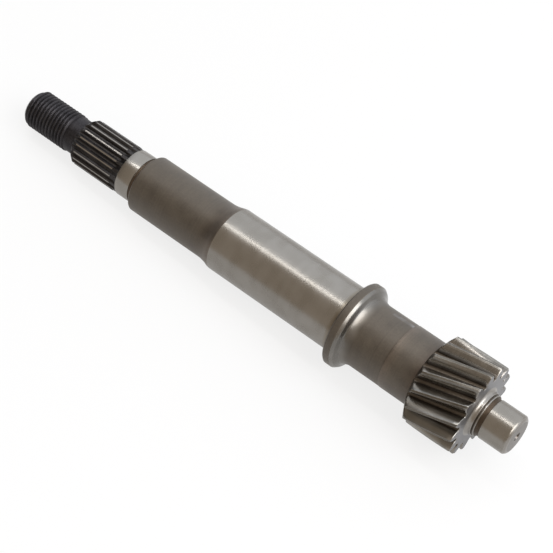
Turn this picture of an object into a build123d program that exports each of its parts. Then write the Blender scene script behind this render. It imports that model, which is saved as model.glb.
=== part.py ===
from build123d import *

import math
import os

# A transmission primary shaft: one forged steel piece, turned, splined, toothed and ground.
# Its axis is X, with the threaded end at -X and the pinion end at +X. The origin is on the
# axis, half way along. Lengths are in millimetres and angles in degrees. Stations are
# measured along the axis from the threaded end face.

# Threaded end for the lock nut: a plain cylinder at the thread's major diameter
thread_diameter = 12.0
thread_length = 16.45
thread_point_diameter = 9.9
thread_point_length = 1.2
neck_diameter = 11.3
neck_length = 4.15

# Involute spline that carries the clutch drum
spline_teeth = 19
spline_module = 0.75
spline_pressure_angle = 30.0
spline_diameter = 15.0
spline_root_diameter = 13.2
spline_root_round = 0.2
spline_length = 16.1
spline_point_diameter = 13.5
spline_point_length = 0.9
spline_phase = 3.9
spline_runout_length = 2.3
spline_runout_diameter = 14.66

# Ground seat between the spline and the shoulder
seat_diameter = 15.0
seat_length = 6.4
seat_relief_length = 1.5
seat_relief_diameter = 14.6

# Plain dark body, and the sweep up to the bearing journal
body_diameter = 18.1
body_length = 26.05
body_chamfer = 0.4
sweep_radius = 12.8
sweep_length = 4.4
journal_lead_length = 0.9

# Ground bearing journal
journal_diameter = 20.0
journal_length = 44.25
journal_relief_length = 2.3
journal_relief_diameter = 19.6

# Thrust flange: a flat face towards the journal, a bevelled crest and a hollow far side
flange_diameter = 26.1
flange_width = 2.3
flange_edge = 0.35
crest_length = 0.85
crest_diameter = 24.8
hollow_length = 0.65
hollow_diameter = 22.4
flange_fillet = 4.0

# Shank between the flange and the pinion
shank_diameter = 19.76
shank_length = 10.2
rise_diameter = 19.92
rise_length = 9.4

# Helical pinion, left-hand, cut in the solid shaft
pinion_teeth = 15
pinion_module = 1.5
pinion_pressure_angle = 20.0
pinion_helix_angle = 14.5
pinion_profile_shift = 0.42
pinion_clearance = 0.25
pinion_root_round = 0.6
pinion_length = 17.4
pinion_phase = 2.9
pinion_back_diameter = 24.6
pinion_back_length = 1.1
pinion_nose_length = 0.8
pinion_edge = 0.4
pinion_cutter_overrun = 2.0

# Collar on the pinion's end face
collar_diameter = 13.3
collar_length = 1.5
collar_bevel = 1.0
collar_groove_length = 0.4
collar_groove_diameter = 12.3
collar_ring_diameter = 12.8
collar_ring_length = 0.45

# End journal
tail_diameter = 12.0
tail_length = 8.4
tail_relief_length = 1.25
tail_relief_diameter = 11.6
tail_point_diameter = 10.4
tail_point_length = 0.8

# Centre-drilled holes in both ends
centre_diameter = 2.7
centre_angle = 60.0
centre_pilot_diameter = 1.2
centre_pilot_length = 1.6

# How the tooth spaces are drawn: chords on each flank, and on each half of the rounded bottom
SPLINE_CHORDS = (2, 2)
PINION_CHORDS = (5, 3)
MOUTH_OVERREACH = 1.05
FULL_TURN = 360.0

# The pinion's circles
pinion_pitch_diameter = pinion_teeth * pinion_module / math.cos(math.radians(pinion_helix_angle))
pinion_diameter = pinion_pitch_diameter + 2 * pinion_module * (1 + pinion_profile_shift)
pinion_root_diameter = pinion_pitch_diameter - 2 * pinion_module * (
    1 + pinion_clearance - pinion_profile_shift
)

# Stations from the threaded end face
neck_start = thread_length
spline_start = neck_start + neck_length
runout_start = spline_start + spline_length
seat_start = runout_start + spline_runout_length
body_start = seat_start + seat_length
sweep_start = body_start + body_length
journal_start = sweep_start + sweep_length + journal_lead_length
flange_start = journal_start + journal_length
crest_start = flange_start + flange_width
hollow_start = crest_start + crest_length
fillet_start = hollow_start + hollow_length


def fillet_reach(radius, drop):
    """Length along the axis of a hollow arc that ends level after falling by drop."""
    return math.sqrt(radius**2 - (radius - drop) ** 2)


shank_start = fillet_start + fillet_reach(flange_fillet, (hollow_diameter - shank_diameter) / 2)
rise_start = shank_start + shank_length
pinion_start = rise_start + rise_length
pinion_face = pinion_start + pinion_length
ring_start = pinion_face + collar_length + collar_groove_length
relief_start = ring_start + collar_ring_length
tail_start = relief_start + tail_relief_length
total_length = tail_start + tail_length


class Outline:
    """A run of lines and arcs through (station, radius) points above the axis."""

    def __init__(self, station, radius):
        self.at = (station, radius)
        self.edges = []

    def line(self, station, radius):
        if (station, radius) != self.at:
            self.edges.append(Line(self.at, (station, radius)))
            self.at = (station, radius)

    def step(self, length, diameter):
        """A jump to a diameter, then a cylinder of it."""
        self.line(self.at[0], diameter / 2)
        self.line(self.at[0] + length, diameter / 2)

    def hollow(self, station, radius, bend):
        """A concave arc of radius bend, seen from outside the metal."""
        self.edges.append(RadiusArc(self.at, (station, radius), -bend))
        self.at = (station, radius)


def add_threaded_end(outline):
    outline.line(0, thread_point_diameter / 2)
    outline.line(thread_point_length, thread_diameter / 2)
    outline.line(neck_start, thread_diameter / 2)
    outline.step(neck_length, neck_diameter)


def add_spline_and_seat(outline):
    outline.line(spline_start, spline_point_diameter / 2)
    outline.line(spline_start + spline_point_length, spline_diameter / 2)
    outline.line(runout_start, spline_diameter / 2)
    outline.step(spline_runout_length, spline_runout_diameter)
    outline.step(seat_length - seat_relief_length, seat_diameter)
    outline.step(seat_relief_length, seat_relief_diameter)


def add_body_and_journal(outline):
    radius = body_diameter / 2
    outline.line(body_start, radius - body_chamfer)
    outline.line(body_start + body_chamfer, radius)
    outline.line(sweep_start, radius)
    rise = sweep_radius - math.sqrt(sweep_radius**2 - sweep_length**2)
    outline.hollow(sweep_start + sweep_length, radius + rise, sweep_radius)
    outline.line(journal_start, journal_diameter / 2)
    outline.line(flange_start - journal_relief_length, journal_diameter / 2)
    outline.step(journal_relief_length, journal_relief_diameter)


def add_flange(outline):
    outline.line(flange_start, flange_diameter / 2 - flange_edge)
    outline.line(flange_start + flange_edge, flange_diameter / 2)
    outline.line(crest_start, flange_diameter / 2)
    outline.line(hollow_start, crest_diameter / 2)
    outline.line(fillet_start, hollow_diameter / 2)
    outline.hollow(shank_start, shank_diameter / 2, flange_fillet)
    outline.line(rise_start, shank_diameter / 2)


def add_pinion_blank(outline):
    tip, back = pinion_diameter / 2, pinion_back_diameter / 2
    outline.line(rise_start, rise_diameter / 2)
    outline.line(pinion_start, rise_diameter / 2)
    outline.line(pinion_start + pinion_back_length, back)
    outline.line(pinion_start + pinion_back_length + pinion_nose_length, tip)
    outline.line(pinion_face - pinion_edge, tip)
    outline.line(pinion_face, tip - pinion_edge)


def add_collar_and_tail(outline):
    collar = collar_diameter / 2
    outline.line(pinion_face, collar + collar_bevel)
    outline.line(pinion_face + collar_bevel, collar)
    outline.line(pinion_face + collar_length, collar)
    outline.step(collar_groove_length, collar_groove_diameter)
    outline.step(collar_ring_length, collar_ring_diameter)
    outline.step(tail_relief_length, tail_relief_diameter)
    outline.line(tail_start, tail_diameter / 2)
    outline.line(total_length - tail_point_length, tail_diameter / 2)
    outline.line(total_length, tail_point_diameter / 2)
    outline.line(total_length, 0)


def turned_blank():
    """The shaft as it leaves the lathe, before the spline and the teeth are cut."""
    outline = Outline(0, 0)
    add_threaded_end(outline)
    add_spline_and_seat(outline)
    add_body_and_journal(outline)
    add_flange(outline)
    add_pinion_blank(outline)
    add_collar_and_tail(outline)
    outline.line(0, 0)
    return revolve(make_face(Wire(outline.edges)), Axis.X)


def involute(roll):
    """The polar angle of an involute that has unrolled by an angle, both in radians."""
    return roll - math.atan(roll)


def tooth_space(
    teeth, pitch_diameter, pressure_angle, thickness, root_diameter, tip_diameter, root_round, chords
):
    """The space between two teeth, centred on angle 0 in the plane across the shaft.

    Its flanks are involutes and its bottom is half an ellipse, both drawn as short chords. The
    pressure angle and the tooth's thickness are those in that plane, at the pitch circle.
    """
    pressure = math.radians(pressure_angle)
    base = pitch_diameter / 2 * math.cos(pressure)
    root = root_diameter / 2
    foot = max(base, root + root_round)
    gap = math.pi / teeth - thickness / pitch_diameter - involute(math.tan(pressure))

    def roll_at(radius):
        return math.sqrt((radius / base) ** 2 - 1)

    flank_chords, root_chords = chords
    mouth_roll = roll_at(tip_diameter / 2 * MOUTH_OVERREACH)
    roll_step = (roll_at(foot) - mouth_roll) / flank_chords
    side = []
    for i in range(flank_chords):
        roll = mouth_roll + roll_step * i
        side.append((base * math.hypot(1, roll), gap + involute(roll)))
    foot_angle = gap + involute(roll_at(foot))
    for i in range(root_chords):
        turn = math.pi / 2 * i / root_chords
        side.append((foot - (foot - root) * math.sin(turn), foot_angle * math.cos(turn)))
    around = side + [(root, 0)] + [(radius, -angle) for radius, angle in reversed(side)]
    corners = [(radius * math.cos(angle), radius * math.sin(angle)) for radius, angle in around]
    return make_face(Polyline(*corners, close=True))


def around_axis(solid, count):
    """Copies of a solid, evenly spaced about the shaft's axis."""
    return [solid.rotate(Axis.X, FULL_TURN * i / count) for i in range(count)]


def spline_cutters():
    """The straight spaces of the spline, whose bottoms ramp up to the run-out's surface."""
    space = tooth_space(
        spline_teeth,
        spline_teeth * spline_module,
        spline_pressure_angle,
        math.pi * spline_module / 2,
        spline_root_diameter,
        spline_diameter,
        spline_root_round,
        SPLINE_CHORDS,
    )
    first_space = spline_phase + FULL_TURN / 2 / spline_teeth
    cutter = extrude(across(spline_start, first_space) * space, seat_start - spline_start)
    root = spline_root_diameter / 2
    rise = (spline_runout_diameter - spline_root_diameter) / 2
    reach = Outline(spline_start, root - rise)
    reach.line(runout_start - spline_runout_length, root - rise)
    reach.line(seat_start, root + rise)
    reach.line(seat_start, spline_diameter)
    reach.line(spline_start, spline_diameter)
    reach.line(spline_start, root - rise)
    return around_axis(cutter & revolve(make_face(Wire(reach.edges)), Axis.X), spline_teeth)


def pinion_cutters():
    """The spaces between the helical teeth, each a twisted prism."""
    helix = math.radians(pinion_helix_angle)
    pressure = math.radians(pinion_pressure_angle)
    thickness = pinion_module * (math.pi / 2 + 2 * pinion_profile_shift * math.tan(pressure))
    space = tooth_space(
        pinion_teeth,
        pinion_pitch_diameter,
        math.degrees(math.atan(math.tan(pressure) / math.cos(helix))),
        thickness / math.cos(helix),
        pinion_root_diameter,
        pinion_diameter,
        pinion_root_round,
        PINION_CHORDS,
    )
    twist = math.degrees(math.tan(helix) / (pinion_pitch_diameter / 2))
    start = pinion_start - pinion_cutter_overrun
    run = pinion_length + 2 * pinion_cutter_overrun
    first_space = pinion_phase + FULL_TURN / 2 / pinion_teeth + twist * (pinion_face - start)
    section = across(start, first_space) * space
    cutter = Solid.extrude_linear_with_rotation(section.face(), (start, 0, 0), (run, 0, 0), -twist * run)
    return around_axis(cutter, pinion_teeth)


def across(station, angle):
    """The plane across the shaft at a station, turned about its axis."""
    return Plane((station, 0, 0), (0, 1, 0), (1, 0, 0)) * Rot(0, 0, angle)


def centre_drill():
    """A centre hole's form: a cone from the mouth down to a short pilot hole."""
    mouth, pilot = centre_diameter / 2, centre_pilot_diameter / 2
    depth = (mouth - pilot) / math.tan(math.radians(centre_angle / 2))
    outline = Outline(0, 0)
    outline.line(0, mouth)
    outline.line(depth, pilot)
    outline.line(depth + centre_pilot_length, pilot)
    outline.line(depth + centre_pilot_length, 0)
    outline.line(0, 0)
    return revolve(make_face(Wire(outline.edges)), Axis.X)


def primary_shaft():
    drill = centre_drill()
    far_drill = Pos(total_length, 0, 0) * Rot(0, 180, 0) * drill
    shaft = turned_blank() - [drill, far_drill]
    shaft -= spline_cutters()
    shaft -= pinion_cutters()
    return Pos(-total_length / 2, 0, 0) * shaft


if __name__ == "__main__":
    os.makedirs("parts", exist_ok=True)
    export_step(primary_shaft(), "parts/primary_shaft.step")
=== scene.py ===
import math

import bmesh
import bpy
from mathutils import Matrix, Vector


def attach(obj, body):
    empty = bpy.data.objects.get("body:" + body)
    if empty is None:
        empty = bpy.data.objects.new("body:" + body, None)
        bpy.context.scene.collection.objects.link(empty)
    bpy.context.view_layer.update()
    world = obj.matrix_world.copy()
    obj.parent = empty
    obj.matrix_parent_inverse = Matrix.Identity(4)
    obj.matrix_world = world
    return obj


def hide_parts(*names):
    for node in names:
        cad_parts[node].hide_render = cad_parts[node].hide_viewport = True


# Looks of a transmission primary shaft. One watertight skin with the thread, the spline and the
# helical teeth in full stands for the plain solid. Lengths are in millimetres until METRES turns
# them into metres, angles in degrees, and stations run along the axis from the threaded end face.

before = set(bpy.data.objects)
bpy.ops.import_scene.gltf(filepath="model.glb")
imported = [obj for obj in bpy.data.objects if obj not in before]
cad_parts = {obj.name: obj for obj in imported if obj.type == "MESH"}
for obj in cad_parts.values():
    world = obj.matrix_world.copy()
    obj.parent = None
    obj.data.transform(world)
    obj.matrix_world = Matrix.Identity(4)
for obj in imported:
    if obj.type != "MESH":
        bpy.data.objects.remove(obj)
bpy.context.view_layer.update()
METRES = 0.001

# Threaded end. The widths of crest and root and the round of their edges are shares of the pitch.
# The drop beside the crest, and the rises beside the root and within it, are shares of the depth.
thread_diameter = 12.0
thread_pitch = 1.25
thread_depth = 0.767
thread_crest_width = 1 / 8
thread_root_width = 2 / 9
thread_round = 0.02
thread_crest_drop = 0.07
thread_root_rise = 0.06
thread_root_sag = 0.012
thread_length = 16.45
thread_point_diameter = 9.9
thread_point_length = 1.2
thread_fade = 1.6
neck_diameter = 11.3
neck_length = 4.15

# Spline
spline_teeth = 19
spline_module = 0.75
spline_pressure_angle = 30.0
spline_diameter = 15.0
spline_root_diameter = 13.2
spline_root_round = 0.2
spline_tip_round = 0.07
spline_length = 16.1
spline_point_diameter = 13.5
spline_point_length = 0.9
spline_phase = 3.9
spline_runout_length = 2.3
spline_runout_diameter = 14.66
spline_runout_curve = 1.6
spline_worn_start = 1.75

# Seat, body, sweep and bearing journal
seat_diameter = 15.0
seat_length = 6.4
seat_relief_length = 1.5
seat_relief_diameter = 14.6
body_diameter = 18.1
body_length = 26.05
body_chamfer = 0.4
sweep_radius = 12.8
sweep_length = 4.4
journal_lead_length = 0.9
journal_diameter = 20.0
journal_length = 44.25
journal_relief_length = 2.3
journal_relief_diameter = 19.6
journal_relief_slope = 0.8
journal_relief_fillet = 0.3

# Thrust flange and shank
flange_diameter = 26.1
flange_width = 2.3
flange_edge = 0.35
crest_length = 0.85
crest_diameter = 24.8
hollow_length = 0.65
hollow_diameter = 22.4
flange_fillet = 4.0
shank_diameter = 19.76
shank_length = 10.2
rise_diameter = 19.92
rise_length = 9.4

# Helical pinion
pinion_teeth = 15
pinion_module = 1.5
pinion_pressure_angle = 20.0
pinion_helix_angle = 14.5
pinion_profile_shift = 0.42
pinion_clearance = 0.25
pinion_root_round = 0.6
pinion_tip_round = 0.1
pinion_length = 17.4
pinion_phase = 2.9
pinion_back_diameter = 24.6
pinion_back_length = 1.1
pinion_nose_length = 0.8
pinion_edge = 0.4
pinion_burr_break = 0.14

# Collar, end journal and centre holes
collar_diameter = 13.3
collar_length = 1.5
collar_bevel = 1.0
collar_bevel_radius = 1.15
collar_groove_length = 0.4
collar_groove_diameter = 12.3
collar_ring_diameter = 12.8
collar_ring_length = 0.45
tail_diameter = 12.0
tail_length = 8.4
tail_relief_length = 1.25
tail_relief_diameter = 11.6
tail_point_diameter = 10.4
tail_point_length = 0.8
centre_diameter = 2.7
centre_angle = 60.0
centre_pilot_diameter = 1.2
centre_pilot_length = 1.6
centre_depth = (centre_diameter - centre_pilot_diameter) / 2 / math.tan(math.radians(centre_angle / 2))

# Stations
neck_start = thread_length
spline_start = neck_start + neck_length
runout_start = spline_start + spline_length
seat_start = runout_start + spline_runout_length
body_start = seat_start + seat_length
sweep_start = body_start + body_length
sweep_end = sweep_start + sweep_length
journal_start = sweep_end + journal_lead_length
flange_start = journal_start + journal_length
crest_start = flange_start + flange_width
hollow_start = crest_start + crest_length
fillet_start = hollow_start + hollow_length
fillet_drop = (hollow_diameter - shank_diameter) / 2
shank_start = fillet_start + math.sqrt(flange_fillet**2 - (flange_fillet - fillet_drop) ** 2)
rise_start = shank_start + shank_length
pinion_start = rise_start + rise_length
pinion_face = pinion_start + pinion_length
groove_start = pinion_face + collar_length
ring_start = groove_start + collar_groove_length
relief_start = ring_start + collar_ring_length
tail_start = relief_start + tail_relief_length
total_length = tail_start + tail_length
journal_relief_start = flange_start - journal_relief_length
seat_relief_start = body_start - seat_relief_length

# The pinion's circles and twist
pinion_helix = math.radians(pinion_helix_angle)
pinion_pitch_diameter = pinion_teeth * pinion_module / math.cos(pinion_helix)
pinion_diameter = pinion_pitch_diameter + 2 * pinion_module * (1 + pinion_profile_shift)
pinion_root_diameter = pinion_pitch_diameter - 2 * pinion_module * (
    1 + pinion_clearance - pinion_profile_shift
)
pinion_twist = math.tan(pinion_helix) / (pinion_pitch_diameter / 2)

# How finely the skin is drawn: the sides of its circles, and steps along the shaft or on a curve
THREAD_SIDES = 120
TURNED_SIDES = 168
TAIL_SIDES = 120
EDGE_STEPS = 3
NECK_STEPS = 4
SPLINE_FLANK_STEPS = 4
SPLINE_POINT_STEPS = 4
SPLINE_STEPS = 10
RUNOUT_STEPS = 8
BODY_STEPS = 12
SWEEP_STEPS = 8
JOURNAL_STEPS = 20
FILLET_STEPS = 12
SHANK_STEPS = 6
RISE_STEPS = 5
PINION_FLANK_STEPS = 8
PINION_BACK_STEPS = 6
PINION_NOSE_STEPS = 3
PINION_STEPS = 14
BEVEL_STEPS = 6
TAIL_STEPS = 6
SHARP_ANGLE = 38

# The reach of the rounds on edges, with the largest share of a side that a round may take, and
# the short bands that lie beside rounded edges
ROUND_SHARE = 0.4
EDGE_ROUND = 0.07
CREST_ROUND = 0.12
HOLLOW_ROUND = 0.40
STEP_ROUND = 0.04
COLLAR_ROUND = 0.14
TAIL_ROUND = 0.50
SHOULDER_BAND = 0.3
STEP_BAND = 0.4
BAND = 0.5
MOUTH_BAND = 0.6
WIDE_BAND = 0.8

# The share of a tooth's land that is its worn middle
WORN_SHARE = 0.50


# Skin: one mesh, grown ring by ring along the shaft


class Skin:
    """A watertight mesh made of rings about the axis. A ring starts as (station, y, z) points."""

    def __init__(self):
        self.mesh = bmesh.new()
        self.kinds = []

    def ring(self, points):
        middle = total_length / 2
        return [self.mesh.verts.new(Vector((x - middle, y, z)) * METRES) for x, y, z in points]

    def face(self, corners, kind):
        """A face of one kind of surface. Corners that fall together are left out."""
        kept = [v for i, v in enumerate(corners) if v is not corners[i - 1]]
        if len(kept) < 3:
            return
        if kind not in self.kinds:
            self.kinds.append(kind)
        made = self.mesh.faces.new(kept)
        made.material_index = self.kinds.index(kind)
        made.smooth = True

    def strip(self, first, second, kinds):
        """Joins two rings of equal count. kinds is one kind, or one for each side in turn."""
        for i in range(len(first)):
            j = (i + 1) % len(first)
            kind = kinds if isinstance(kinds, str) else kinds[i % len(kinds)]
            self.face([first[i], first[j], second[j], second[i]], kind)

    def bridge(self, first, second, kind):
        """Joins two rings of any counts by stepping to whichever next corner comes sooner."""
        a = running_angles(first, 0)
        start = min(range(len(second)), key=lambda k: abs(wrapped(angle_of(second[k]) - a[0])))
        second = second[start:] + second[:start]
        b = running_angles(second, a[0])
        i = j = 0
        while i < len(first) or j < len(second):
            here, there = first[i % len(first)], second[j % len(second)]
            if j == len(second) or (i < len(first) and a[i + 1] <= b[j + 1]):
                i += 1
                self.face([here, first[i % len(first)], there], kind)
            else:
                j += 1
                self.face([here, second[j % len(second)], there], kind)

    def turned(self, start_ring, points, sides):
        """Grows circles through (station, radius, kind) points. The kind is that of the band before."""
        ring = start_ring
        for station, radius, kind in points:
            grown = self.ring(circle(station, radius, sides))
            if ring is not None:
                join = self.strip if len(ring) == sides else self.bridge
                join(ring, grown, kind)
            ring = grown
        return ring

    def cap(self, ring, kind, faces_forward):
        centre = self.mesh.verts.new(sum((v.co for v in ring), Vector()) / len(ring))
        for i, v in enumerate(ring):
            w = ring[(i + 1) % len(ring)]
            self.face([v, w, centre] if faces_forward else [w, v, centre], kind)


def angle_of(vertex):
    return math.atan2(vertex.co.z, vertex.co.y)


def wrapped(angle):
    return (angle + math.pi) % (2 * math.pi) - math.pi


def running_angles(ring, near):
    """The angles of a ring's points and of its first point again, without jumps."""
    made = [near + wrapped(angle_of(ring[0]) - near)]
    for vertex in ring[1:] + ring[:1]:
        made.append(made[-1] + wrapped(angle_of(vertex) - made[-1]))
    return made


def circle(station, radius, sides):
    angles = [2 * math.pi * i / sides for i in range(sides)]
    return [(station, radius * math.cos(a), radius * math.sin(a)) for a in angles]


def spaced(start, end, steps, first=1):
    """Even steps from start to end. The start itself is one of them if first is 0."""
    return [start + (end - start) * k / steps for k in range(first, steps)] + [end]


# Outlines of what is turned


def rounded_corner(before, corner, after, reach):
    """Points on a short curve that takes a corner's place, for 2-D vectors."""
    into, out = before - corner, after - corner
    reach = min(reach, into.length * ROUND_SHARE, out.length * ROUND_SHARE)
    near, far = corner + into.normalized() * reach, corner + out.normalized() * reach
    steps = [k / EDGE_STEPS for k in range(EDGE_STEPS + 1)]
    return [near * (1 - t) ** 2 + corner * (2 * t * (1 - t)) + far * t**2 for t in steps]


def eased(corners, reach=EDGE_ROUND):
    """The outline through (station, radius, kind) corners, with each inner corner rounded."""
    points = [corners[0]]
    for before, corner, after in zip(corners, corners[1:], corners[2:]):
        curve = rounded_corner(Vector(before[:2]), Vector(corner[:2]), Vector(after[:2]), reach)
        points += [(p.x, p.y, corner[2]) for p in curve]
    return points + [corners[-1]]


def hollow(start, end, radius, steps, kind):
    """Points from start to end on an arc whose centre lies outside the metal."""
    a, b = Vector(start), Vector(end)
    chord = b - a
    lift = math.sqrt(radius**2 - (chord.length / 2) ** 2)
    centre = (a + b) / 2 + Vector((-chord.y, chord.x)).normalized() * lift
    first = math.atan2(a.y - centre.y, a.x - centre.x)
    sweep = wrapped(math.atan2(b.y - centre.y, b.x - centre.x) - first)
    turns = [first + sweep * k / steps for k in range(1, steps + 1)]
    return [(centre.x + radius * math.cos(t), centre.y + radius * math.sin(t), kind) for t in turns]


def level(station_a, station_b, radius, steps, kind):
    """Points along a cylinder, so that its bands aren't long slivers."""
    return [(station, radius, kind) for station in spaced(station_a, station_b, steps)]


# Threaded end


def thread_profile():
    """(phase, radius, kind) round one pitch, with the crest at phase 0."""
    crest, root = thread_diameter / 2, thread_diameter / 2 - thread_depth
    shoulder = crest - thread_depth * thread_crest_drop
    heel = root + thread_depth * thread_root_rise
    sag = root + thread_depth * thread_root_sag
    half_crest, half_root, ease = thread_crest_width / 2, thread_root_width / 2, thread_round
    return [
        (-half_crest + ease, crest, "thread_crest"),
        (half_crest - ease, crest, "thread_crest"),
        (half_crest + ease, shoulder, "thread_crest"),
        (0.5 - half_root - ease, heel, "thread"),
        (0.5 - half_root / 2, sag, "thread"),
        (0.5, root, "thread"),
        (0.5 + half_root / 2, sag, "thread"),
        (0.5 + half_root + ease, heel, "thread"),
        (1 - half_crest - ease, shoulder, "thread"),
    ]


def thread_limits(station):
    """The lowest and highest radius that the thread may have at a station."""
    point = thread_point_diameter / 2
    rise = (thread_diameter - thread_point_diameter) / 2 * station / thread_point_length
    left = thread_length - station
    neck = neck_diameter / 2
    low = neck - (neck - thread_diameter / 2 + thread_depth) * min(1, left / thread_fade)
    return low, min(point + rise, neck + left)


def add_thread(skin, start, sides):
    """A right-hand helical skin from the ring at station 0 to a new ring at the thread's end."""
    profile = thread_profile()
    end = skin.ring(circle(thread_length, neck_diameter / 2, sides))
    made = {}

    def corner(line, side):
        if side == sides:
            line, side = line + len(profile), 0
        turn, place = divmod(line, len(profile))
        phase, radius, _ = profile[place]
        station = thread_pitch * (turn + phase + side / sides)
        if station <= 0:
            return start[side]
        if station >= thread_length:
            return end[side]
        if (line, side) not in made:
            low, high = thread_limits(station)
            radius = min(high, max(low, radius))
            angle = 2 * math.pi * side / sides
            point = (station, radius * math.cos(angle), radius * math.sin(angle))
            made[line, side] = skin.ring([point])[0]
        return made[line, side]

    # A line climbs by one pitch round the shaft, so the first ones start before the end face.
    turns = math.ceil(thread_length / thread_pitch) + 1
    for line in range(-2 * len(profile), turns * len(profile)):
        kind = profile[(line + 1) % len(profile)][2]
        for side in range(sides):
            near = [corner(line, side), corner(line, side + 1)]
            far = [corner(line + 1, side + 1), corner(line + 1, side)]
            skin.face(near + far, kind)
    return end


def add_threaded_end(skin):
    mouth, pilot = centre_diameter / 2, centre_pilot_diameter / 2
    hole = eased(
        [
            (centre_depth + centre_pilot_length, pilot, "centre_hole"),
            (centre_depth, pilot, "centre_hole"),
            (0, mouth, "centre_hole"),
            (0, thread_point_diameter / 2, "dark_face"),
        ]
    )
    bottom = skin.turned(None, hole[:1], THREAD_SIDES)
    skin.cap(bottom, "centre_hole", faces_forward=False)
    start = skin.turned(bottom, hole[1:], THREAD_SIDES)
    thread_end = add_thread(skin, start, THREAD_SIDES)
    neck = level(neck_start, spline_start, neck_diameter / 2, NECK_STEPS, "neck")
    return skin.turned(thread_end, neck, THREAD_SIDES)


# Teeth


def tooth_profile(
    teeth, pitch_diameter, pressure, thickness, root_diameter, tip_diameter, root_round, tip_round, steps
):
    """One tooth about angle 0, from the middle of a space to the middle of the next, in its plane.

    It is a list of (point, kind of the side that follows). The pressure angle is in radians.
    steps is their number on each flank and on each half of the rounded root.
    """
    base = pitch_diameter / 2 * math.cos(pressure)
    root, tip = root_diameter / 2, tip_diameter / 2
    foot = max(base, root + root_round)
    half_thick = thickness / pitch_diameter + math.tan(pressure) - pressure

    def roll_at(radius):
        return math.sqrt((radius / base) ** 2 - 1)

    def angle_at(roll):
        return half_thick - roll + math.atan(roll)

    def flank(roll):
        return polar(base * math.hypot(1, roll), angle_at(roll))

    tip_roll, foot_roll = roll_at(tip), roll_at(foot)
    tip_angle, foot_angle = angle_at(tip_roll), angle_at(foot_roll)
    space = math.pi / teeth
    half = [(polar(tip, 0), "crest"), (polar(tip, tip_angle * WORN_SHARE), "land")]
    below = flank((tip_roll * 3 + foot_roll) / 4)
    edge = rounded_corner(polar(tip, tip_angle / 2), flank(tip_roll), below, tip_round)
    half += [(p, "edge") for p in edge]
    for k in range(1, steps):
        side = flank(tip_roll + (foot_roll - tip_roll) * k / steps)
        half.append((side, "flank" if k < steps / 2 else "foot"))
    for k in range(steps):
        turn = math.pi / 2 * k / steps
        angle = space - (space - foot_angle) * math.cos(turn)
        half.append((polar(foot - (foot - root) * math.sin(turn), angle), "root"))
    return mirrored(half, polar(root, space))


def polar(radius, angle):
    return Vector((radius * math.cos(angle), radius * math.sin(angle)))


def mirrored(half, space_middle):
    """The whole tooth from its upper half, which ends at the middle of a space."""
    points = [p for p, kind in half]
    kinds = [kind for p, kind in half]
    lower = [Vector((p.x, -p.y)) for p in reversed(points[1:])]
    whole = [Vector((space_middle.x, -space_middle.y))] + lower + points
    sides = list(reversed(kinds)) + kinds
    return list(zip(whole, sides))


def shrunk(profile, teeth, by):
    """The same tooth with every side moved into the metal."""
    points = [p for p, kind in profile]
    turn = 2 * math.pi / teeth
    before = rotated(points[-1], -turn)
    after = rotated(points[0], turn)
    ends = zip([before] + points[:-1], points, points[1:] + [after], profile)
    made = []
    for back, here, ahead, (_, kind) in ends:
        along = (ahead - back).normalized()
        made.append((here - Vector((along.y, -along.x)) * by, kind))
    return made


def rotated(p, angle):
    c, s = math.cos(angle), math.sin(angle)
    return Vector((p.x * c - p.y * s, p.x * s + p.y * c))


def toothed_ring(skin, profile, teeth, station, turn, top, bottom=0):
    """A ring of teeth, turned about the axis and held between two radii."""
    points = []
    for k in range(teeth):
        for p, kind in profile:
            held = min(top, max(bottom, p.length)) / p.length
            q = rotated(p, turn + 2 * math.pi * k / teeth) * held
            points.append((station, q.x, q.y))
    return skin.ring(points)


def spline_stops():
    """(station, highest radius, lowest radius) from the spline's point to its run-out's end."""
    root, tip = spline_root_diameter / 2, spline_diameter / 2
    ramp_end = spline_runout_diameter / 2
    point_end = spline_start + spline_point_length
    point_stations = spaced(spline_start, point_end, SPLINE_POINT_STEPS, first=0)
    point_radii = spaced(spline_point_diameter / 2, tip, SPLINE_POINT_STEPS, first=0)
    stops = [(station, radius, 0) for station, radius in zip(point_stations, point_radii)]
    worn_start = spline_start + spline_worn_start
    stops += [(station, tip, 0) for station in spaced(worn_start, runout_start, SPLINE_STEPS, first=0)]
    stops.append((runout_start, ramp_end + EDGE_ROUND, 0))
    for share in spaced(0, 1, RUNOUT_STEPS, first=0):
        bottom = root + (ramp_end - root) * share**spline_runout_curve
        stops.append((runout_start + spline_runout_length * share, ramp_end, bottom))
    return stops


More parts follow.
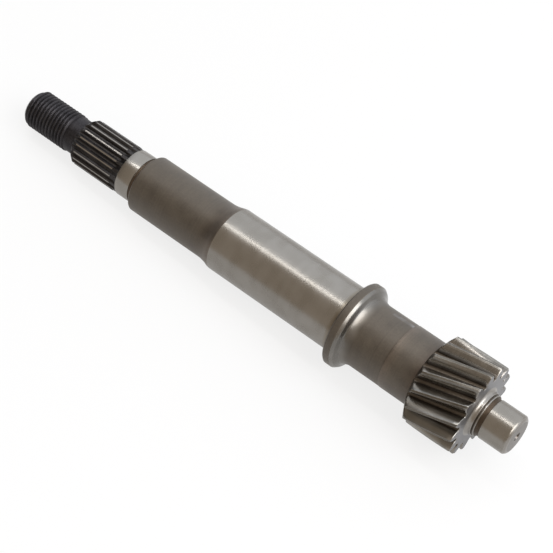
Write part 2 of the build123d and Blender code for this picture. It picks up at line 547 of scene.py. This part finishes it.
def add_spline_and_seat(skin, neck_ring):
    profile = tooth_profile(
        teeth=spline_teeth,
        pitch_diameter=spline_teeth * spline_module,
        pressure=math.radians(spline_pressure_angle),
        thickness=math.pi * spline_module / 2,
        root_diameter=spline_root_diameter,
        tip_diameter=spline_diameter,
        root_round=spline_root_round,
        tip_round=spline_tip_round,
        steps=SPLINE_FLANK_STEPS,
    )
    worn = ["spline_" + kind for p, kind in profile]
    unworn = [kind.replace("crest", "land") for kind in worn]
    turn = math.radians(spline_phase)
    ring = None
    for station, top, bottom in spline_stops():
        grown = toothed_ring(skin, profile, spline_teeth, station, turn, top, bottom)
        if ring is None:
            skin.bridge(neck_ring, grown, "spline_face")
        elif station <= spline_start + spline_worn_start:
            skin.strip(ring, grown, unworn)
        elif station <= runout_start:
            skin.strip(ring, grown, worn)
        else:
            skin.strip(ring, grown, "spline_runout")
        ring = grown
    seat, relief = seat_diameter / 2, seat_relief_diameter / 2
    outline = eased(
        [
            (seat_start, spline_runout_diameter / 2, "seat"),
            (seat_start, seat, "seat"),
            (seat_relief_start, seat, "seat"),
            (seat_relief_start, relief, "seat_relief"),
            (body_start, relief, "seat_relief"),
        ]
    )
    for station, radius, kind in outline[1:]:
        grown = toothed_ring(skin, profile, spline_teeth, station, turn, radius, radius)
        skin.strip(ring, grown, kind)
        ring = grown
    return ring


# Body, journal, flange and shank


def body_outline():
    body, journal = body_diameter / 2, journal_diameter / 2
    foot = body + sweep_radius - math.sqrt(sweep_radius**2 - sweep_length**2)
    edge = eased(
        [
            (body_start, body - body_chamfer - SHOULDER_BAND, "body_face"),
            (body_start, body - body_chamfer, "body_face"),
            (body_start + body_chamfer, body, "body"),
            (body_start + 2 * body_chamfer, body, "body"),
        ]
    )
    lead = eased(
        [
            (sweep_end, foot, "sweep"),
            (journal_start, journal, "sweep"),
            (journal_start + 2 * BAND, journal, "journal"),
        ]
    )
    middle = level(body_start + 2 * body_chamfer, sweep_start, body, BODY_STEPS, "body")
    sweep = hollow((sweep_start, body), (sweep_end, foot), sweep_radius, SWEEP_STEPS, "sweep")
    journal_end = journal_relief_start - BAND
    ground = level(journal_start + 2 * BAND, journal_end, journal, JOURNAL_STEPS, "journal")
    return edge + middle + sweep + lead[1:] + ground


def flange_outline():
    journal, relief = journal_diameter / 2, journal_relief_diameter / 2
    flange, crest, neck = flange_diameter / 2, crest_diameter / 2, hollow_diameter / 2
    rim_end = crest_start - WIDE_BAND
    halfway = (crest_start + crest_length / 2, (flange + crest) / 2, "flange_crest")
    near_side = eased(
        [
            (journal_relief_start - BAND, journal, "journal"),
            (journal_relief_start, journal, "journal"),
            (journal_relief_start + journal_relief_slope, relief, "journal_relief"),
            (flange_start - journal_relief_fillet, relief, "journal_relief"),
            (flange_start, relief + journal_relief_fillet, "journal_relief"),
            (flange_start, flange - flange_edge, "flange_face"),
            (flange_start + flange_edge, flange, "flange_rim"),
            (rim_end, flange, "flange_rim"),
        ]
    )
    rim = eased(
        [(rim_end, flange, "flange_rim"), (crest_start, flange, "flange_rim"), halfway], CREST_ROUND
    )
    far_side = eased(
        [
            halfway,
            (hollow_start, crest, "flange_crest"),
            (fillet_start, neck, "flange_hollow"),
            (fillet_start + BAND, neck - BAND, "flange_hollow"),
        ],
        HOLLOW_ROUND,
    )
    shank = (shank_start, shank_diameter / 2)
    fillet = hollow((fillet_start, neck), shank, flange_fillet, FILLET_STEPS, "flange_hollow")
    return near_side[1:-1] + rim[:-1] + far_side[:-1] + fillet


def shank_outline():
    shank, rise = shank_diameter / 2, rise_diameter / 2
    step_start = rise_start - STEP_BAND
    step = eased(
        [
            (step_start, shank, "shank"),
            (rise_start, shank, "shank"),
            (rise_start, rise, "shank"),
            (rise_start + BAND, rise, "rise"),
        ],
        STEP_ROUND,
    )
    before = level(shank_start, step_start, shank, SHANK_STEPS, "shank")
    after = level(rise_start + BAND, pinion_start - BAND, rise, RISE_STEPS, "rise")
    return before + step[1:] + after


def add_middle(skin, seat_ring):
    return skin.turned(seat_ring, body_outline() + flange_outline() + shank_outline(), TURNED_SIDES)


# Pinion, collar and end journal


def pinion_stops():
    """(station, highest radius) from the pinion's foot on the shank to near its end face."""
    shank, back, tip = rise_diameter / 2, pinion_back_diameter / 2, pinion_diameter / 2
    back_end = pinion_start + pinion_back_length
    nose_end = back_end + pinion_nose_length
    stops = [(pinion_start, shank)]
    stops += zip(
        spaced(pinion_start, back_end, PINION_BACK_STEPS), spaced(shank, back, PINION_BACK_STEPS)
    )
    stops += zip(spaced(back_end, nose_end, PINION_NOSE_STEPS), spaced(back, tip, PINION_NOSE_STEPS))
    edge_start = pinion_face - pinion_edge
    stops += [(station, tip) for station in spaced(nose_end, edge_start, PINION_STEPS)]
    stops.append((pinion_face - pinion_burr_break, tip - pinion_edge + pinion_burr_break))
    return stops


def add_pinion(skin, shank_ring):
    """The teeth. Flanks and edges on the side of each tooth that faces the lamps are painted lighter, as
    painted light, than those on the other side, as painted shade.
    """
    pressure = math.radians(pinion_pressure_angle)
    thickness = pinion_module * (math.pi / 2 + 2 * pinion_profile_shift * math.tan(pressure))
    profile = tooth_profile(
        teeth=pinion_teeth,
        pitch_diameter=pinion_pitch_diameter,
        pressure=math.atan(math.tan(pressure) / math.cos(pinion_helix)),
        thickness=thickness / math.cos(pinion_helix),
        root_diameter=pinion_root_diameter,
        tip_diameter=pinion_diameter,
        root_round=pinion_root_round,
        tip_round=pinion_tip_round,
        steps=PINION_FLANK_STEPS,
    )
    # One side of each tooth takes the lit looks and the other the shaded ones: painted light and painted
    # shade.
    kinds = [("pinion_" if p.y < 0 else "pinion_slack_") + kind for p, kind in profile]
    ring = None
    for station, top in pinion_stops():
        turn = math.radians(pinion_phase) + pinion_twist * (pinion_face - station)
        grown = toothed_ring(skin, profile, pinion_teeth, station, turn, top)
        if ring is None:
            skin.bridge(shank_ring, grown, "rise")
        elif station <= pinion_start + pinion_back_length:
            skin.strip(ring, grown, "pinion_back")
        else:
            skin.strip(ring, grown, kinds)
        ring = grown
    broken = shrunk(profile, pinion_teeth, pinion_burr_break)
    turn = math.radians(pinion_phase)
    top = pinion_diameter / 2 - pinion_edge
    grown = toothed_ring(skin, broken, pinion_teeth, pinion_face, turn, top)
    skin.strip(ring, grown, "pinion_edge")
    return grown


def collar_outline():
    collar, groove, ring = collar_diameter / 2, collar_groove_diameter / 2, collar_ring_diameter / 2
    relief, tail = tail_relief_diameter / 2, tail_diameter / 2
    bevel_start = (pinion_face, collar + collar_bevel)
    bevel_end = (pinion_face + collar_bevel, collar)
    inner = pinion_root_diameter / 2 - BAND
    face = [(pinion_face, inner, "pinion_face"), (*bevel_start, "pinion_face")]
    bevel = hollow(bevel_start, bevel_end, collar_bevel_radius, BEVEL_STEPS, "collar")
    rings = eased(
        [
            (*bevel_end, "collar"),
            (groove_start, collar, "collar"),
            (groove_start, groove, "collar_groove"),
            (ring_start, groove, "collar_groove"),
            (ring_start, ring, "collar"),
            (relief_start, ring, "collar"),
            (relief_start, relief, "tail_relief"),
            (tail_start, relief, "tail_relief"),
            (tail_start, tail, "tail"),
            (tail_start + WIDE_BAND, tail, "tail"),
        ],
        COLLAR_ROUND,
    )
    return face + bevel + rings[1:]


def tail_outline():
    tail, point = tail_diameter / 2, tail_point_diameter / 2
    mouth, pilot = centre_diameter / 2, centre_pilot_diameter / 2
    tail_end = total_length - tail_point_length
    brink = (total_length, mouth + MOUTH_BAND, "end_face")
    ground = level(tail_start + WIDE_BAND, tail_end - WIDE_BAND, tail, TAIL_STEPS, "tail")
    edge = eased(
        [
            (tail_end - WIDE_BAND, tail, "tail"),
            (tail_end, tail, "tail"),
            (total_length, point, "tail_point"),
            brink,
        ],
        TAIL_ROUND,
    )
    hole = eased(
        [
            brink,
            (total_length, mouth, "end_face"),
            (total_length - centre_depth, pilot, "centre_cone"),
            (total_length - centre_depth - centre_pilot_length, pilot, "centre_hole"),
        ]
    )
    return ground + edge[1:] + hole[1:]


def add_tail(skin, face_ring):
    bottom = skin.turned(face_ring, collar_outline() + tail_outline(), TAIL_SIDES)
    skin.cap(bottom, "centre_hole", faces_forward=True)


def make_shaft():
    skin = Skin()
    neck_ring = add_threaded_end(skin)
    seat_ring = add_spline_and_seat(skin, neck_ring)
    shank_ring = add_middle(skin, seat_ring)
    face_ring = add_pinion(skin, shank_ring)
    add_tail(skin, face_ring)
    data = bpy.data.meshes.new("shaft")
    skin.mesh.to_mesh(data)
    skin.mesh.free()
    data.set_sharp_from_angle(angle=math.radians(SHARP_ANGLE))
    shaft = bpy.data.objects.new("shaft", data)
    bpy.context.scene.collection.objects.link(shaft)
    for kind in skin.kinds:
        data.materials.append(finish_of(kind))
    return shaft


# Looks. A surface carries turning lines, patches and grain. The mixture is their shares in the
# colour, and the bumps are the depths in millimetres of the lines and the grain. The pitch is the
# width in millimetres of a line, and the detail is how finely lines and patches break up. The film
# is the oxide that heat treatment leaves, which mirrors the surroundings at a grazing angle.
FILM = 0.85
FILM_ROUGHNESS = 0.52

# The noise: its cells to a metre in patches and grain, how much longer a line is than wide, and
# the values between which it is used
PATCH_CELLS = 260
GRAIN_CELLS = 2200
GRAIN_DETAIL = 2
LINE_STRETCH = 90
NOISE_ROUGHNESS = 0.55
NOISE_LOW = 0.35
NOISE_HIGH = 0.65


def steel(dark, light, rough, mixture, bumps=None, pitch=0.35, detail=4, film=0.0):
    """One look: two colours, a roughness range, and how the surface is drawn between them."""
    return {
        "dark": (*dark, 1),
        "light": (*light, 1),
        "smooth": rough[0],
        "rough": rough[1],
        "mixture": mixture,
        "bumps": bumps,
        "pitch": pitch,
        "detail": detail,
        "film": film,
    }


def bright(dark, light, rough, mixture=(0.3, 0.7, 0.0)):
    """A ground or worn look, so even that its highlights stay clean."""
    return steel(dark, light, rough, mixture, pitch=2.0, detail=0)


def heated(dark, light, rough, mixture=(0.15, 0.6, 0.25), bumps=(0.002, 0.003)):
    """A heat-treated look under its film."""
    return steel(dark, light, rough, mixture, bumps, pitch=0.5, film=FILM)


# Each look gives its dark colour, light colour, roughness, mixture and bumps, in this order.
GROUND = bright((0.213, 0.197, 0.176), (0.239, 0.223, 0.202), (0.270, 0.286))
TAIL_GROUND = bright((0.211, 0.195, 0.173), (0.236, 0.220, 0.198), (0.270, 0.282))
FINE_GROUND = bright((0.220, 0.205, 0.184), (0.246, 0.230, 0.209), (0.235, 0.248))
SHEEN = bright((0.130, 0.122, 0.111), (0.170, 0.160, 0.147), (0.22, 0.25))
CREST = bright((0.155, 0.146, 0.134), (0.200, 0.189, 0.175), (0.25, 0.28))
WORN_LAND = bright((0.212, 0.194, 0.172), (0.255, 0.237, 0.215), (0.29, 0.33), (0.5, 0.5, 0.0))
# Painted light: the flanks on the side of each tooth that faces the lamps.
LIT_FLANK = bright((0.222, 0.202, 0.175), (0.262, 0.240, 0.210), (0.30, 0.33))
# The tip edges on the side facing the lamps, lighter as painted light, and the broken edge at the end
# face.
EDGE = bright((0.225, 0.214, 0.196), (0.270, 0.258, 0.240), (0.28, 0.32))

HEATED = heated((0.0670, 0.0530, 0.0385), (0.1120, 0.0905, 0.0670), (0.60, 0.70), (0.25, 0.5, 0.25))
RISE = heated((0.0760, 0.0575, 0.0415), (0.1320, 0.1020, 0.0760), (0.44, 0.54), bumps=(0.001, 0.002))
# A dark brown temper colour. Next to the flange face it also stands for painted shade in the corner.
DUSKY = heated((0.0435, 0.0300, 0.0200), (0.0860, 0.0630, 0.0420), (0.48, 0.58))
SMOKY = heated((0.0525, 0.0380, 0.0260), (0.0960, 0.0740, 0.0520), (0.48, 0.58))

OXIDE = steel(
    (0.022, 0.0202, 0.0216), (0.059, 0.0555, 0.0590), (0.48, 0.60), (0.1, 0.6, 0.3), (0.001, 0.003)
)
BROWN_OXIDE = steel(
    (0.028, 0.0255, 0.0250), (0.064, 0.0595, 0.0585), (0.40, 0.50), (0.1, 0.6, 0.3), (0.001, 0.002)
)
# A brown temper tint on the reliefs, darkened further as painted shade in these undercuts beside
# shoulders.
TINTED_AND_SHADED = steel(
    (0.052, 0.0385, 0.0275), (0.112, 0.0840, 0.0620), (0.42, 0.52), (0.3, 0.5, 0.2), (0.002, 0.003)
)
ROOT = steel((0.062, 0.050, 0.039), (0.104, 0.087, 0.070), (0.44, 0.54), (0.2, 0.6, 0.2), (0.002, 0.003))
FACE = steel((0.175, 0.172, 0.176), (0.255, 0.251, 0.256), (0.40, 0.50), (0.2, 0.5, 0.3), (0.001, 0.002))
END_FACE = steel(
    (0.165, 0.154, 0.144), (0.235, 0.221, 0.207), (0.40, 0.50), (0.2, 0.5, 0.3), (0.001, 0.002)
)
# Painted shade: the centre holes' cones and pilots are darker than the end faces they are cut into.
SHADED_HOLE = steel((0.033, 0.029, 0.029), (0.091, 0.083, 0.081), (0.40, 0.50), (0.2, 0.5, 0.3), (0.001, 0.002))
SHADED_CONE = steel((0.080, 0.071, 0.065), (0.140, 0.127, 0.117), (0.24, 0.28), (0.2, 0.5, 0.3))
POLISHED = steel((0.220, 0.203, 0.183), (0.295, 0.278, 0.257), (0.28, 0.34), (0.3, 0.4, 0.3))
WORN_OXIDE = steel((0.027, 0.0255, 0.0275), (0.068, 0.0645, 0.068), (0.25, 0.30), (0.2, 0.7, 0.1))
TOOTH_LAND = steel((0.084, 0.075, 0.064), (0.132, 0.120, 0.104), (0.32, 0.38), (0.2, 0.6, 0.2))
# Painted shade: the tip edges on the side of each tooth away from the lamps.
SHADED_EDGE = steel((0.155, 0.145, 0.130), (0.230, 0.218, 0.200), (0.30, 0.36), (0.1, 0.5, 0.4))
GOLDEN = steel((0.150, 0.128, 0.098), (0.215, 0.188, 0.150), (0.30, 0.36), (0.15, 0.6, 0.25))
# Painted shade: the flanks above their feet on the side of each tooth away from the lamps.
SHADED_FLANK = steel((0.130, 0.119, 0.106), (0.200, 0.186, 0.168), (0.18, 0.22), (0.2, 0.5, 0.3))
FOOT = steel((0.185, 0.173, 0.161), (0.265, 0.250, 0.235), (0.30, 0.36), (0.2, 0.5, 0.3))

# The look of each kind of surface that looks the same all along
FINISHES = {
    "thread": OXIDE,
    "thread_crest": WORN_OXIDE,
    "dark_face": OXIDE,
    "neck": OXIDE,
    "spline_face": BROWN_OXIDE,
    "spline_crest": WORN_LAND,
    "spline_land": BROWN_OXIDE,
    "spline_edge": BROWN_OXIDE,
    "spline_flank": BROWN_OXIDE,
    "spline_foot": BROWN_OXIDE,
    "spline_root": BROWN_OXIDE,
    "spline_runout": BROWN_OXIDE,
    "seat": FINE_GROUND,
    "seat_relief": TINTED_AND_SHADED,
    "body_face": HEATED,
    "journal": GROUND,
    "flange_face": HEATED,
    "flange_rim": HEATED,
    "flange_crest": CREST,
    "pinion_back": ROOT,
    "pinion_crest": TOOTH_LAND,
    "pinion_land": TOOTH_LAND,
    # The lit side of each tooth, then its shaded side: painted light and painted shade on flanks and
    # edges.
    "pinion_edge": EDGE,
    "pinion_flank": LIT_FLANK,
    "pinion_foot": LIT_FLANK,
    "pinion_root": ROOT,
    "pinion_slack_crest": TOOTH_LAND,
    "pinion_slack_land": TOOTH_LAND,
    "pinion_slack_edge": SHADED_EDGE,
    "pinion_slack_flank": SHADED_FLANK,
    "pinion_slack_foot": FOOT,
    "pinion_slack_root": ROOT,
    "pinion_face": FACE,
    "collar": POLISHED,
    "collar_groove": ROOT,
    "tail_relief": TINTED_AND_SHADED,
    "tail": TAIL_GROUND,
    "tail_point": POLISHED,
    "end_face": END_FACE,
    # The centre holes take darker looks as painted shade.
    "centre_cone": SHADED_CONE,
    "centre_hole": SHADED_HOLE,
}

# Looks that give way to one another along the shaft, as (station, look) stops. The first look
# sets how the surface is drawn. Body and sweep share one fade, from the body to the journal.
BODY_FADE = (
    (sweep_start - 1.8, HEATED),
    (sweep_start + 1.4, SMOKY),
    (sweep_end - 0.4, RISE),
    (journal_start, RISE),
)
FADES = {
    "body": BODY_FADE,
    "sweep": BODY_FADE,
    # The relief turns from ground steel to a golden temper tint and then, next to the flange face, to a
    # darker look that is painted shade in that corner.
    "journal_relief": (
        (journal_relief_start, GROUND),
        (flange_start - 1.3, GOLDEN),
        (flange_start - 0.5, DUSKY),
    ),
    "flange_hollow": ((fillet_start, SHEEN), (fillet_start + 0.5, SHEEN), (shank_start, HEATED)),
    "shank": ((shank_start, HEATED), (rise_start - 0.5, HEATED), (rise_start - 0.1, DUSKY)),
    "rise": (
        (rise_start, RISE),
        (rise_start + 3.5, HEATED),
        (pinion_start - 3.5, HEATED),
        (pinion_start, DUSKY),
    ),
}

# A rubbed streak along the shank. Its angle from +Y towards +Z and its half width are in degrees,
# and its core is the share of that width which is rubbed in full. It comes in over the length of
# its end, breaks up between two values of the patches, and is faintest where it breaks up.
scuff_angle = 57.0
scuff_width = 6.0
scuff_core = 0.2
scuff_length = 7.0
scuff_end = 0.5
scuff_depth = 0.7
scuff_breaks = (0.42, 0.56)
scuff_faintest = 0.2
scuff_colour = (0.28, 0.275, 0.28, 1)


class Nodes:
    """Short calls that add nodes to one material or world."""

    def __init__(self, tree):
        self.tree = tree
        tree.nodes.clear()

    def add(self, kind, settings=(), **inputs):
        node = self.tree.nodes.new(kind)
        for name, value in dict(settings).items():
            setattr(node, name, value)
        for name, value in inputs.items():
            self.put(node.inputs[name.replace("_", " ")], value)
        return node

    def put(self, socket, value):
        if isinstance(value, bpy.types.NodeSocket):
            self.tree.links.new(value, socket)
        else:
            socket.default_value = value

    def noise(self, coordinates, stretch, detail):
        """Noise in the shaft's own coordinates, so many cells to a metre along and across it."""
        placed = self.add("ShaderNodeMapping", Vector=coordinates, Scale=stretch).outputs[0]
        made = self.add("ShaderNodeTexNoise", Vector=placed, Scale=1.0, Detail=detail)
        self.put(made.inputs["Roughness"], NOISE_ROUGHNESS)
        return made.outputs["Fac"]

    def between(self, value, low, high, start=NOISE_LOW, end=NOISE_HIGH):
        """A value's place from start to end, brought to low to high and held there."""
        made = self.add("ShaderNodeMapRange", Value=value)
        for name, number in (("From Min", start), ("From Max", end), ("To Min", low), ("To Max", high)):
            self.put(made.inputs[name], number)
        return made.outputs["Result"]

    def mix(self, share, dark, light):
        """Two colours mixed. The node has other sockets for numbers, so these go by place."""
        made = self.add("ShaderNodeMix", {"data_type": "RGBA"})
        for place, value in ((0, share), (6, dark), (7, light)):
            self.put(made.inputs[place], value)
        return made.outputs[2]

    def blend(self, share, first, second):
        """Two surfaces mixed."""
        made = self.add("ShaderNodeMixShader")
        for socket, value in zip(made.inputs, (share, first.outputs[0], second.outputs[0])):
            self.put(socket, value)
        return made

    def math(self, operation, a, b):
        made = self.add("ShaderNodeMath", {"operation": operation})
        for socket, value in zip(made.inputs, (a, b)):
            self.put(socket, value)
        return made.outputs[0]

    def weighed(self, values, weights):
        """The sum of values, each times its weight."""
        parts = [self.math("MULTIPLY", value, weight) for value, weight in zip(values, weights)]
        total = parts[0]
        for part in parts[1:]:
            total = self.math("ADD", total, part)
        return total

    def fading(self, station, stops, name):
        """A colour or number of a look, or of several looks that give way along the shaft."""
        values = [look[name] for _, look in stops]
        if len(set(values)) == 1:
            return values[0]
        ramp = self.add("ShaderNodeValToRGB", Fac=station)
        elements = ramp.color_ramp.elements
        while len(elements) < len(stops):
            elements.new(1.0)
        for element, (place, _) in zip(elements, stops):
            element.position = place / total_length
        for element, value in zip(elements, values):
            element.color = value if isinstance(value, tuple) else (value, value, value, 1)
        return ramp.outputs["Color"]

    def streak(self, here, patches):
        """How much of the rubbed streak along the shank there is at a point."""
        place = self.add("ShaderNodeSeparateXYZ", Vector=here).outputs
        turn = math.radians(scuff_angle)
        outward = self.weighed((place["Y"], place["Z"]), (math.cos(turn), math.sin(turn)))
        radius = shank_diameter / 2 * METRES
        near, far = (radius * math.cos(math.radians(scuff_width * k)) for k in (scuff_core, 1.0))
        start = (rise_start - scuff_length - total_length / 2) * METRES
        ends = self.between(place["X"], 0.0, 1.0, start, start + scuff_end * METRES)
        share = self.math("MULTIPLY", self.between(outward, 0.0, 1.0, far, near), ends)
        broken = self.between(patches, scuff_faintest, 1.0, *scuff_breaks)
        return self.math("MULTIPLY", self.math("MULTIPLY", share, broken), scuff_depth)


def finish_of(kind):
    """The steel of one kind of surface, drawn by noise in the shaft's own coordinates."""
    stops = FADES[kind] if kind in FADES else ((0, FINISHES[kind]),)
    look = stops[0][1]
    material = bpy.data.materials.new("steel_" + kind)
    material.use_nodes = True
    nodes = Nodes(material.node_tree)
    here = nodes.add("ShaderNodeTexCoord").outputs["Object"]
    along = nodes.add("ShaderNodeSeparateXYZ", Vector=here).outputs["X"]
    half_length = total_length / 2 * METRES
    station = nodes.between(along, 0.0, 1.0, -half_length, half_length)
    dark, light = (nodes.fading(station, stops, name) for name in ("dark", "light"))
    smooth, rough = (nodes.fading(station, stops, name) for name in ("smooth", "rough"))
    cells = 1 / (look["pitch"] * METRES)
    across = cells / LINE_STRETCH
    lines = nodes.noise(here, (cells, across, across), look["detail"] / 2)
    patches = nodes.noise(here, (PATCH_CELLS,) * 3, look["detail"])
    grain = nodes.noise(here, (GRAIN_CELLS,) * 3, GRAIN_DETAIL)
    shade = nodes.weighed((lines, patches, grain), look["mixture"])
    colour = nodes.mix(nodes.between(shade, 0.0, 1.0), dark, light)
    if kind == "shank":
        colour = nodes.mix(nodes.streak(here, patches), colour, scuff_colour)
    roughness = nodes.between(patches, smooth, rough)
    surface = nodes.add(
        "ShaderNodeBsdfPrincipled", Base_Color=colour, Metallic=1.0, Roughness=roughness
    )
    film = nodes.fading(station, stops, "film")
    if film:
        nodes.put(surface.inputs["Coat Weight"], film)
        nodes.put(surface.inputs["Coat Roughness"], FILM_ROUGHNESS)
    if look["bumps"]:
        height = nodes.weighed((lines, grain), [depth * METRES for depth in look["bumps"]])
        bump = nodes.add("ShaderNodeBump", Height=height, Distance=1.0)
        nodes.put(surface.inputs["Normal"], bump.outputs[0])
    nodes.add("ShaderNodeOutputMaterial", Surface=surface.outputs[0])
    return material


# Stage: floor, light and camera

# The shaft lies on the body's edge and on the flange's rim, so the floor falls towards the flange.
# It is matte to the light. Seen straight or mirrored in the steel, a share of it is plain white.
# Its reach is in metres.
rest_body = body_start + body_chamfer
rest_flange = flange_start + flange_edge
floor_fall = (flange_diameter - body_diameter) / 2 / (rest_flange - rest_body)
floor_reach = 4.0
floor_matte = (0.8, 0.8, 0.8, 1)
floor_seen = (0.60, 0.60, 0.60, 1)
floor_white = 0.80
mirrored_white = 0.55

# The room: a warm dim side towards -Y and a bright side behind, which meet overhead. It is dimmer
# beyond the threaded end. The edges are the places between which one side gives way to the other.
world_front = (0.67, 0.585, 0.49, 1)
world_back = (1.49, 1.55, 1.63, 1)
world_horizon = (1.38, 1.43, 1.51, 1)
world_rise = (0.0, 0.4)
world_edge = (-0.08, 0.12)
world_dim = 0.12
world_dim_edge = (-0.70, -0.56)

# Two area lamps, their places and sizes in metres
strip_place = (-0.17, 0.218, 2.0)
strip_size = (2.14, 0.162)
strip_strength = 8.6
box_place = (0.756, 0.06, 0.7175)
box_size = (0.75, 0.85)
box_strength = 4.9

# The camera that took the photo
camera_target = Vector((5.942, -0.190, -1.967)) * METRES
camera_distance = 484.0 * METRES
camera_azimuth = 39.946
camera_elevation = 55.171
photo_side = 553
photo_focal = 1718.1
sensor_width = 36.0
camera_clip = (0.01, 20)


def direction(azimuth, elevation):
    """Where a camera of that azimuth and elevation stands, seen from the object."""
    a, e = math.radians(azimuth), math.radians(elevation)
    return Vector((math.sin(a) * math.cos(e), -math.cos(a) * math.cos(e), math.sin(e)))


def add_floor():
    contact = -(flange_diameter / 2) * METRES
    origin = (rest_flange - total_length / 2) * METRES
    points = []
    for x, y in ((-1, -1), (1, -1), (1, 1), (-1, 1)):
        away = x * floor_reach
        points.append((away, y * floor_reach, contact - (away - origin) * floor_fall))
    data = bpy.data.meshes.new("floor")
    data.from_pydata(points, [], [(0, 1, 2, 3)])
    floor = bpy.data.objects.new("floor", data)
    bpy.context.scene.collection.objects.link(floor)
    data.materials.append(floor_material())


def floor_material():
    material = bpy.data.materials.new("floor_white")
    material.use_nodes = True
    nodes = Nodes(material.node_tree)
    path = nodes.add("ShaderNodeLightPath").outputs
    camera = path["Is Camera Ray"]
    seen = nodes.math("MAXIMUM", camera, path["Is Glossy Ray"])
    matte = nodes.add("ShaderNodeBsdfDiffuse", Color=floor_matte)
    pale = nodes.add("ShaderNodeBsdfDiffuse", Color=floor_seen)
    white = nodes.add("ShaderNodeEmission", Color=(1, 1, 1, 1), Strength=1.0)
    share = nodes.between(camera, mirrored_white, floor_white, 0.0, 1.0)
    backdrop = nodes.blend(share, pale, white)
    nodes.add("ShaderNodeOutputMaterial", Surface=nodes.blend(seen, matte, backdrop).outputs[0])
    return material


def add_lamp(name, place, size, strength):
    """An area lamp that faces the shaft, its first side in line with it. strength is its radiance."""
    data = bpy.data.lights.new(name, "AREA")
    data.shape = "RECTANGLE"
    data.size, data.size_y = size
    data.energy = strength * math.pi * size[0] * size[1]
    lamp = bpy.data.objects.new(name, data)
    lamp.location = place
    away = Vector(place).normalized()
    along = (Vector((1, 0, 0)) - away * away.x).normalized()
    lamp.rotation_euler = Matrix((along, away.cross(along), away)).transposed().to_euler()
    lamp.visible_camera = False
    bpy.context.scene.collection.objects.link(lamp)


def add_world():
    """The room that lights the shaft and shows in its steel. The camera sees plain white."""
    world = bpy.data.worlds.new("studio")
    world.use_nodes = True
    bpy.context.scene.world = world
    nodes = Nodes(world.node_tree)
    way = nodes.add("ShaderNodeTexCoord").outputs["Generated"]
    parts = nodes.add("ShaderNodeSeparateXYZ", Vector=way).outputs
    back = nodes.mix(nodes.between(parts["Z"], 0.0, 1.0, *world_rise), world_horizon, world_back)
    colour = nodes.mix(nodes.between(parts["Y"], 0.0, 1.0, *world_edge), world_front, back)
    lit = nodes.between(parts["X"], world_dim, 1.0, *world_dim_edge)
    room = nodes.add("ShaderNodeBackground", Color=colour, Strength=lit)
    white = nodes.add("ShaderNodeBackground", Color=(1, 1, 1, 1), Strength=1.0)
    camera = nodes.add("ShaderNodeLightPath").outputs["Is Camera Ray"]
    nodes.add("ShaderNodeOutputWorld", Surface=nodes.blend(camera, room, white).outputs[0])


def add_camera():
    data = bpy.data.cameras.new("camera")
    data.sensor_width = sensor_width
    data.lens = sensor_width * photo_focal / photo_side
    data.clip_start, data.clip_end = camera_clip
    camera = bpy.data.objects.new("camera", data)
    back = direction(camera_azimuth, camera_elevation)
    camera.location = camera_target + back * camera_distance
    camera.rotation_euler = (-back).to_track_quat("-Z", "Y").to_euler()
    bpy.context.scene.collection.objects.link(camera)
    bpy.context.scene.camera = camera


shaft = make_shaft()
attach(shaft, "root")
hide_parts("primary_shaft")

add_floor()
add_world()
add_lamp("strip", strip_place, strip_size, strip_strength)
add_lamp("box", box_place, box_size, box_strength)
add_camera()
bpy.context.scene.view_settings.view_transform = "Standard"
